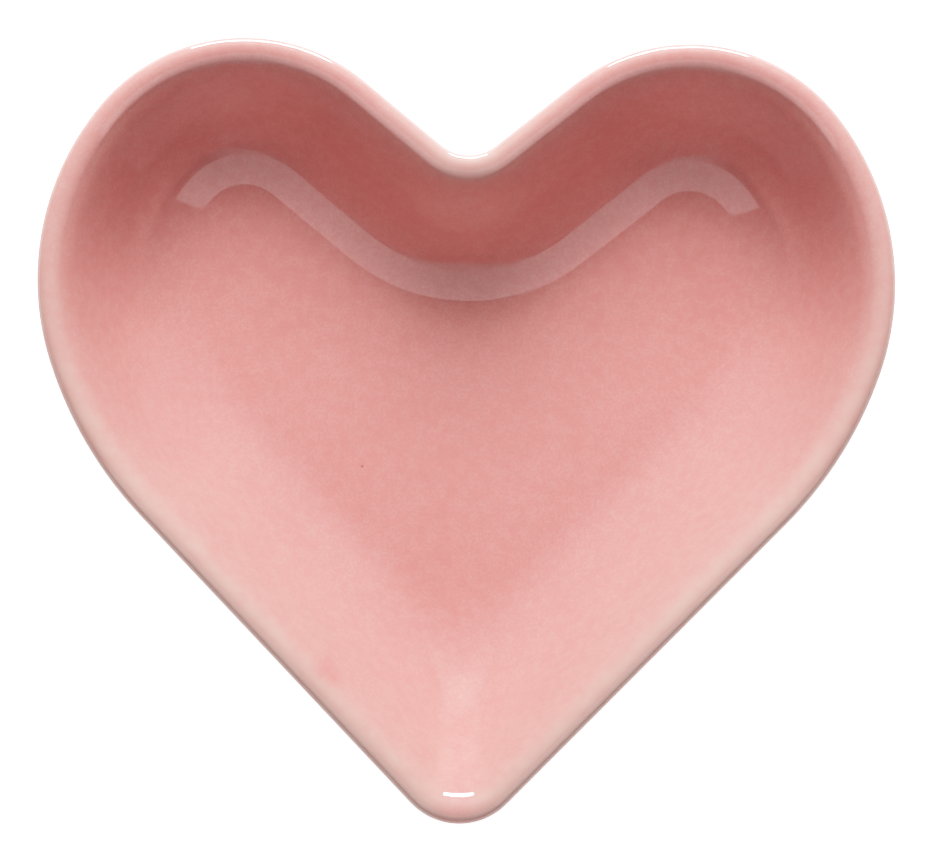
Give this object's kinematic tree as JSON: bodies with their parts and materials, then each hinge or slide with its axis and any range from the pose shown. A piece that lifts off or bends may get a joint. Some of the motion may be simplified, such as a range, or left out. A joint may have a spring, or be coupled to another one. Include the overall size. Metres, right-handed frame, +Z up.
{
  "type": "heart-shaped trinket dish",
  "caption": "Open heart-shaped trinket dish in pink glazed ceramic, with a rounded rim, sloping walls, a flat heart floor and a dry foot ring.",
  "frame": {"origin": "on the table under the middle of the dish's bounding box, at the foot ring's lowest plane", "axes": "+X to the right across the two lobes, +Y from the point of the heart to the cleft, +Z up out of the well"},
  "size_m": [0.09, 0.082, 0.02],
  "materials": {
    "fired_clay": "matte",
    "pink_glaze": "gloss"
  },
  "bodies": {
    "root": {"clay_body": "fired_clay", "glaze_coat": "pink_glaze", "base_glaze": "pink_glaze"}
  },
  "joints": []
}
